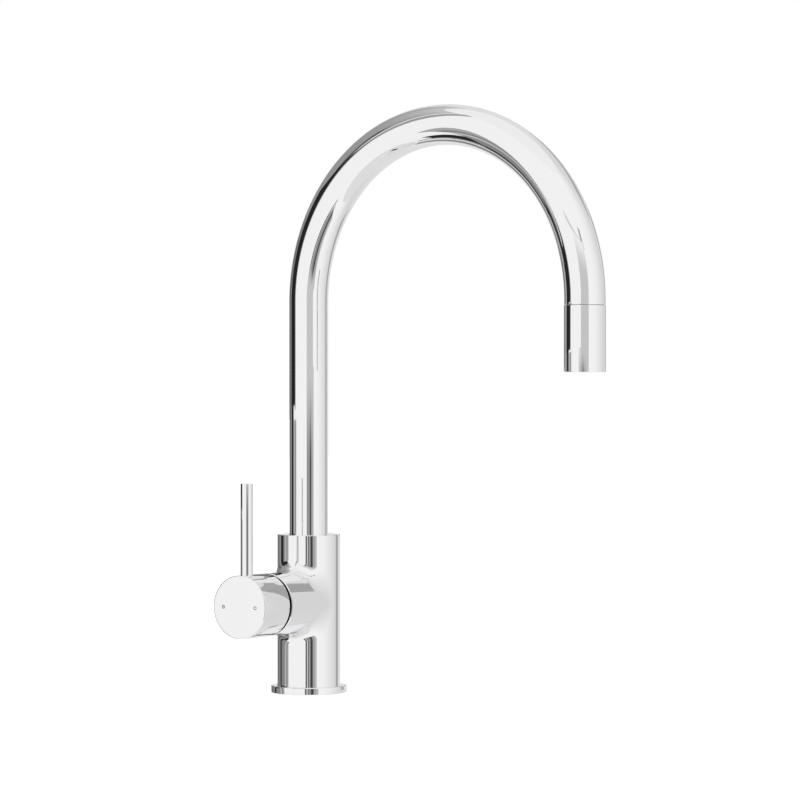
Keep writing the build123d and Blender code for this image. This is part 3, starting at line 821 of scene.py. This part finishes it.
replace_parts(inlay("hot_ring", "hot_mark", ring_inner, ring_outer), "hot_mark")
inlay("hot_dot", "hot_mark", 0, dot_radius)
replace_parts(inlay("cold_ring", "cold_mark", ring_inner, ring_outer), "cold_mark")

# %% [markdown]
# ## The hose behind the spray head
#
# At rest the first stretch of hose hides inside the tip of the spout. When the head is pulled down, that
# stretch draws out of the spout. In the frame it is a short tube between the spout and the head, so it is
# made here with very many rings, close together.

# %% The hose that draws out
leader_low, leader_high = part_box("hose_leader")
hose_wall = 2 * mm
hose_bore = hose_radius - hose_wall
ring_count = 120
ring_gap = (leader_high.z - leader_low.z) / ring_count
ring_heights = [leader_low.z + ring_gap * k for k in range(ring_count + 1)]
leader = turned(
    "hose_leader_skin", None, standing(head_centre),
    [(hose_radius, h) for h in ring_heights] + [(hose_bore, h) for h in reversed(ring_heights)], steps=48)
leader.data.materials.append(braided_hose)
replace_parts(leader, "hose_leader")
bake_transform(leader)

# %% [markdown]
# ## The spring of the non-return valve
#
# The poppet opens downwards and presses its spring together. The spring is made here as a coil of wire.
# A spin that also climbs a little at each step winds a small circle into the coil.

# %% The coil of the spring
spring_low, spring_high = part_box("valve_spring")
wire_radius = 0.25 * mm
coil_turns, coil_steps = 4, 144
coil_radius = span("valve_spring").x / 2 - wire_radius
coil_climb = spring_high.z - spring_low.z - 2 * wire_radius
coil_start = head_centre + Vector((coil_radius, 0, spring_low.z + wire_radius))
wire_way = Vector((0, coil_turns * 2 * pi * coil_radius, coil_climb))
facing = wire_way.to_track_quat("Z", "X").to_matrix().to_4x4()
bm = bmesh.new()
bmesh.ops.create_circle(
    bm, segments=12, radius=wire_radius, matrix=Matrix.Translation(coil_start) @ facing)
bmesh.ops.spin(
    bm, geom=bm.verts[:] + bm.edges[:], cent=head_centre, axis=upwards, dvec=(0, 0, coil_climb / coil_steps),
    angle=coil_turns * 2 * pi, steps=coil_steps, use_merge=False)
bmesh.ops.holes_fill(bm, edges=bm.edges[:])
spring = finished(bm, "valve_spring_skin", None)
spring.data.materials.append(stainless)
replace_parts(spring, "valve_spring")
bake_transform(spring)

# %% [markdown]
# ## The frame's own pieces
#
# Nearly everything inside the tap keeps the shape that the frame gives it. Each piece names its finish in
# the record, so one loop gives them all their materials.

# %% Finish the frame's own pieces
finishes = {
    "turned_brass": turned_brass, "black_plastic": black_plastic, "grey_plastic": grey_plastic,
    "white_plastic": white_plastic, "seal_rubber": seal_rubber, "ceramic": ceramic, "stainless": stainless,
    "mark_grey": mark_grey, "polished_chrome": polished_chrome, "braided_hose": braided_hose,
}
for part in frame["record"]["subparts"]:
    node = frame["nodes"][part["node"]]
    node.data.materials.clear()
    node.data.materials.append(finishes[part["material_slot"]])

# %% [markdown]
# ## The studio
#
# The tap stands on a white floor in even white light. What makes chrome read as metal is not light but
# what is missing from it: dark lines and soft greys that stand round the tap, out of the picture. A
# mirror that turns by an angle swings its reflection by twice that angle, so a card at one bearing shows
# as an upright line at one place on every upright tube, and the bend sweeps through all heights. The
# floor isn't mirrored, so that the lines run right down to the flange, as they do when a tap is shot on a
# stand.

# %% The floor and the white room
world = bpy.data.worlds.new("white_room")
scene.world = world
world.use_nodes = True
background = world.node_tree.nodes["Background"]
background.inputs["Color"].default_value = (1, 1, 1, 1)
background.inputs["Strength"].default_value = 1.0

floor_radius = 6.0
floor_clearance = 0.2 * mm
bm = bmesh.new()
bmesh.ops.create_circle(bm, cap_ends=True, segments=128, radius=floor_radius)
floor = placed(bm, "floor")
floor.location.z = -floor_clearance
floor_paint, nodes, links, shader = new_material("floor_paint")
shader.inputs["Base Color"].default_value = (0.93, 0.93, 0.93, 1)
shader.inputs["Roughness"].default_value = 0.9
shader.inputs["Emission Color"].default_value = (1, 1, 1, 1)
shader.inputs["Emission Strength"].default_value = 0.35
floor.data.materials.append(floor_paint)
floor.visible_glossy = False
print("floor of", floor_radius, "m")


# %% [markdown]
# A card that only mirrors see can stand anywhere, even between the tap and the camera. It gives its own
# light, so it looks the same whatever lights it, and its brightness is simply the shade that the chrome
# will show. The place of a card is given as a bearing round the tap and a rise above eye level, because
# those two decide where its reflection falls.

# %% Helpers for things that only mirrors see
eye_height = 0.28
card_step = 3


def glow(name):
    """A light-giving paint with its strength socket, its nodes and its links."""
    paint = bpy.data.materials.new(name)
    paint.use_nodes = True
    nodes, links = paint.node_tree.nodes, paint.node_tree.links
    nodes.clear()
    light = nodes.new("ShaderNodeEmission")
    light.inputs["Color"].default_value = (0.99, 0.985, 0.99, 1)
    out = nodes.new("ShaderNodeOutputMaterial")
    links.new(light.outputs["Emission"], out.inputs["Surface"])
    return paint, nodes, links, light


def mirror_only(bm, name, paint):
    """Puts a bmesh on the stage where only reflections show it."""
    made = placed(bm, name)
    made.data.materials.append(paint)
    made.visible_camera = made.visible_diffuse = made.visible_shadow = False
    made.visible_transmission = made.visible_volume_scatter = False
    return made


def seen_at(rise, distance):
    """The height of something that is seen at that rise, in degrees, over that distance."""
    return eye_height + distance * tan(radians(rise))


def card(name, bearings, rises, brightness, distance=2.2, fade=None):
    """An upright curved card. Bearings are in degrees to the right of the camera, and rises above the level.
    With a fade it turns into the brightness fade[0] towards its top, over fade[1] degrees."""
    start, end = bearings
    low, high = [seen_at(rise, distance) for rise in rises]
    bearing = camera_bearing + radians(start)
    side = Vector((sin(bearing), -cos(bearing), 0)) * distance
    bm = bmesh.new()
    verts, edges = chain(bm, [side + upwards * low, side + upwards * high])
    bmesh.ops.spin(
        bm, geom=verts + edges, cent=(0, 0, 0), axis=upwards, angle=radians(end - start),
        steps=max(1, round(abs(end - start) / card_step)), use_merge=False)
    paint, nodes, links, light = glow(name)
    light.inputs["Strength"].default_value = brightness
    if fade:
        place = nodes.new("ShaderNodeTexCoord")
        split = nodes.new("ShaderNodeSeparateXYZ")
        ranged = nodes.new("ShaderNodeMapRange")
        ranged.interpolation_type = "SMOOTHSTEP"
        ranged.inputs["From Min"].default_value = seen_at(rises[1] - fade[1], distance)
        ranged.inputs["From Max"].default_value = high
        ranged.inputs["To Min"].default_value = brightness
        ranged.inputs["To Max"].default_value = fade[0]
        links.new(place.outputs["Object"], split.inputs["Vector"])
        links.new(split.outputs["Z"], ranged.inputs["Value"])
        links.new(ranged.outputs["Result"], light.inputs["Strength"])
    return mirror_only(bm, name, paint)


# %% [markdown]
# The room's wall comes first. It is a big open drum whose brightness changes slowly with the bearing:
# full white in front and on the left, and a falling grey towards the right and behind. One radial
# gradient does it, with a short list of bearings and brightnesses.

# %% The wall, the ceiling and the ground
wall_shades = [
    (-180, 0.80), (-100, 0.97), (-60, 0.985), (45, 0.99), (60, 0.955), (75, 0.90), (90, 0.83), (112, 0.73),
    (135, 0.76), (160, 0.82), (180, 0.80)]
wall_distance, wall_rise = 3.0, 62
wall_paint, nodes, links, light = glow("wall_shades")
place = nodes.new("ShaderNodeTexCoord")
turn = nodes.new("ShaderNodeMapping")
turn.vector_type = "POINT"
turn.inputs["Rotation"].default_value = (0, 0, pi / 2 - camera_bearing)
round_about = nodes.new("ShaderNodeTexGradient")
round_about.gradient_type = "RADIAL"
shades = nodes.new("ShaderNodeValToRGB")
links.new(place.outputs["Object"], turn.inputs["Vector"])
links.new(turn.outputs["Vector"], round_about.inputs["Vector"])
links.new(round_about.outputs["Fac"], shades.inputs["Fac"])
links.new(shades.outputs["Color"], light.inputs["Strength"])
stops = shades.color_ramp.elements
while len(stops) < len(wall_shades):
    stops.new(0.5)
for stop, (bearing, _) in zip(stops, wall_shades):
    stop.position = bearing / 360 + 0.5
for stop, (_, shade) in zip(stops, wall_shades):
    stop.color = (shade, shade, shade, 1)
wall_foot, wall_top = seen_at(-wall_rise, wall_distance), seen_at(wall_rise, wall_distance)
bm = bmesh.new()
bmesh.ops.create_circle(bm, segments=96, radius=wall_distance, matrix=Matrix.Translation((0, 0, wall_foot)))
extruded(bm, bm.edges[:], (0, 0, wall_top - wall_foot))
mirror_only(bm, "wall", wall_paint)

lid_rise = 61.5
for name, rise, brightness in (("ceiling", lid_rise, 0.94), ("ground", -lid_rise, 0.80)):
    bm = bmesh.new()
    bmesh.ops.create_circle(
        bm, cap_ends=True, segments=64, radius=wall_distance,
        matrix=Matrix.Translation((0, 0, seen_at(rise, wall_distance))))
    paint, nodes, links, light = glow(name)
    light.inputs["Strength"].default_value = brightness
    mirror_only(bm, name, paint)
print("wall of", len(wall_shades), "shades")

# %% [markdown]
# The cards follow, each a plain curved strip. On the left stand the black ones, which edge the tubes with
# a dark line, and the greys behind them. In front are thin, low ones that fade upwards, so the dark
# stripes are strong on the body and die out up the riser, with a pale haze and two greys above them that
# show in the bend. Behind and on the right are a soft grey line and a few high greys for the bend.

# %% The cards
card("left_post", (-119, -99.5), (-52, -2.7), 0.02)
card("left_cap", (-122, -87), (-2.7, 19), 0.02)
card("left_upper", (-168, -93.5), (13, 58), 0.33, 2.4, (0.60, 34))
card("left_patch", (-104, -95), (13, 32), 0.10, 2.3)
card("left_side", (-170, -119), (-3, 13.5), 0.24, 2.4)
card("left_lower", (-155, -119), (-60, -2.5), 0.27, 2.4)
card("left_thin", (-143, -134), (-40, 10), 0.12, 2.35)
card("left_rim", (-91, -83), (-2.7, 60), 0.35, 2.35)
card("back_upper", (142, 192), (10, 58), 0.80, 2.4)
card("back_line", (160, 186), (5, 17), 0.10, 2.3)
card("right_bar", (118, 157), (23.4, 36), 0.42, 2.3)
card("right_line", (115.5, 131), (-28.8, 20.1), 0.40, 0.6)
card("front_haze", (-11, 25.5), (-40, 22), 0.61, 1.0, (0.93, 14))
card("front_bar", (-30, 24), (21, 24), 0.66, 2.4)
card("front_blob", (13, 22), (22, 30), 0.45, 2.4)


def stripes(name, edges, rises, distance, fade=None):
    """Cards side by side: each edge is where a stripe starts, and its brightness, or None for a gap."""
    for (start, brightness), (end, _) in zip(edges, edges[1:]):
        if brightness is not None:
            card(f"{name}_{round(abs(start))}", (start, end), rises, brightness, distance, fade)


stripes("left_low", [(-124, 0.02), (-116, 0.17), (-110, 0.30), (-104, None)], (-30, -9.5), 2.1)
stripes("left_grey", [
    (-104, 0.22), (-98, 0.34), (-93, 0.56), (-88, 0.24), (-83, 0.42), (-77.5, None)], (-30, -3.3), 2.1)
stripes("front", [
    (-9.2, 0.05), (-5.6, None), (-1.8, 0.20), (2, 0.36), (5.6, 0.20), (9, 0.03), (12.7, 0.14), (16.4, 0.46),
    (20.1, 0.36), (23.5, 0.57), (29.8, None)], (-44, -5), 0.55, (0.61, 9))

print(len(bpy.data.materials), "finishes and paints in all")
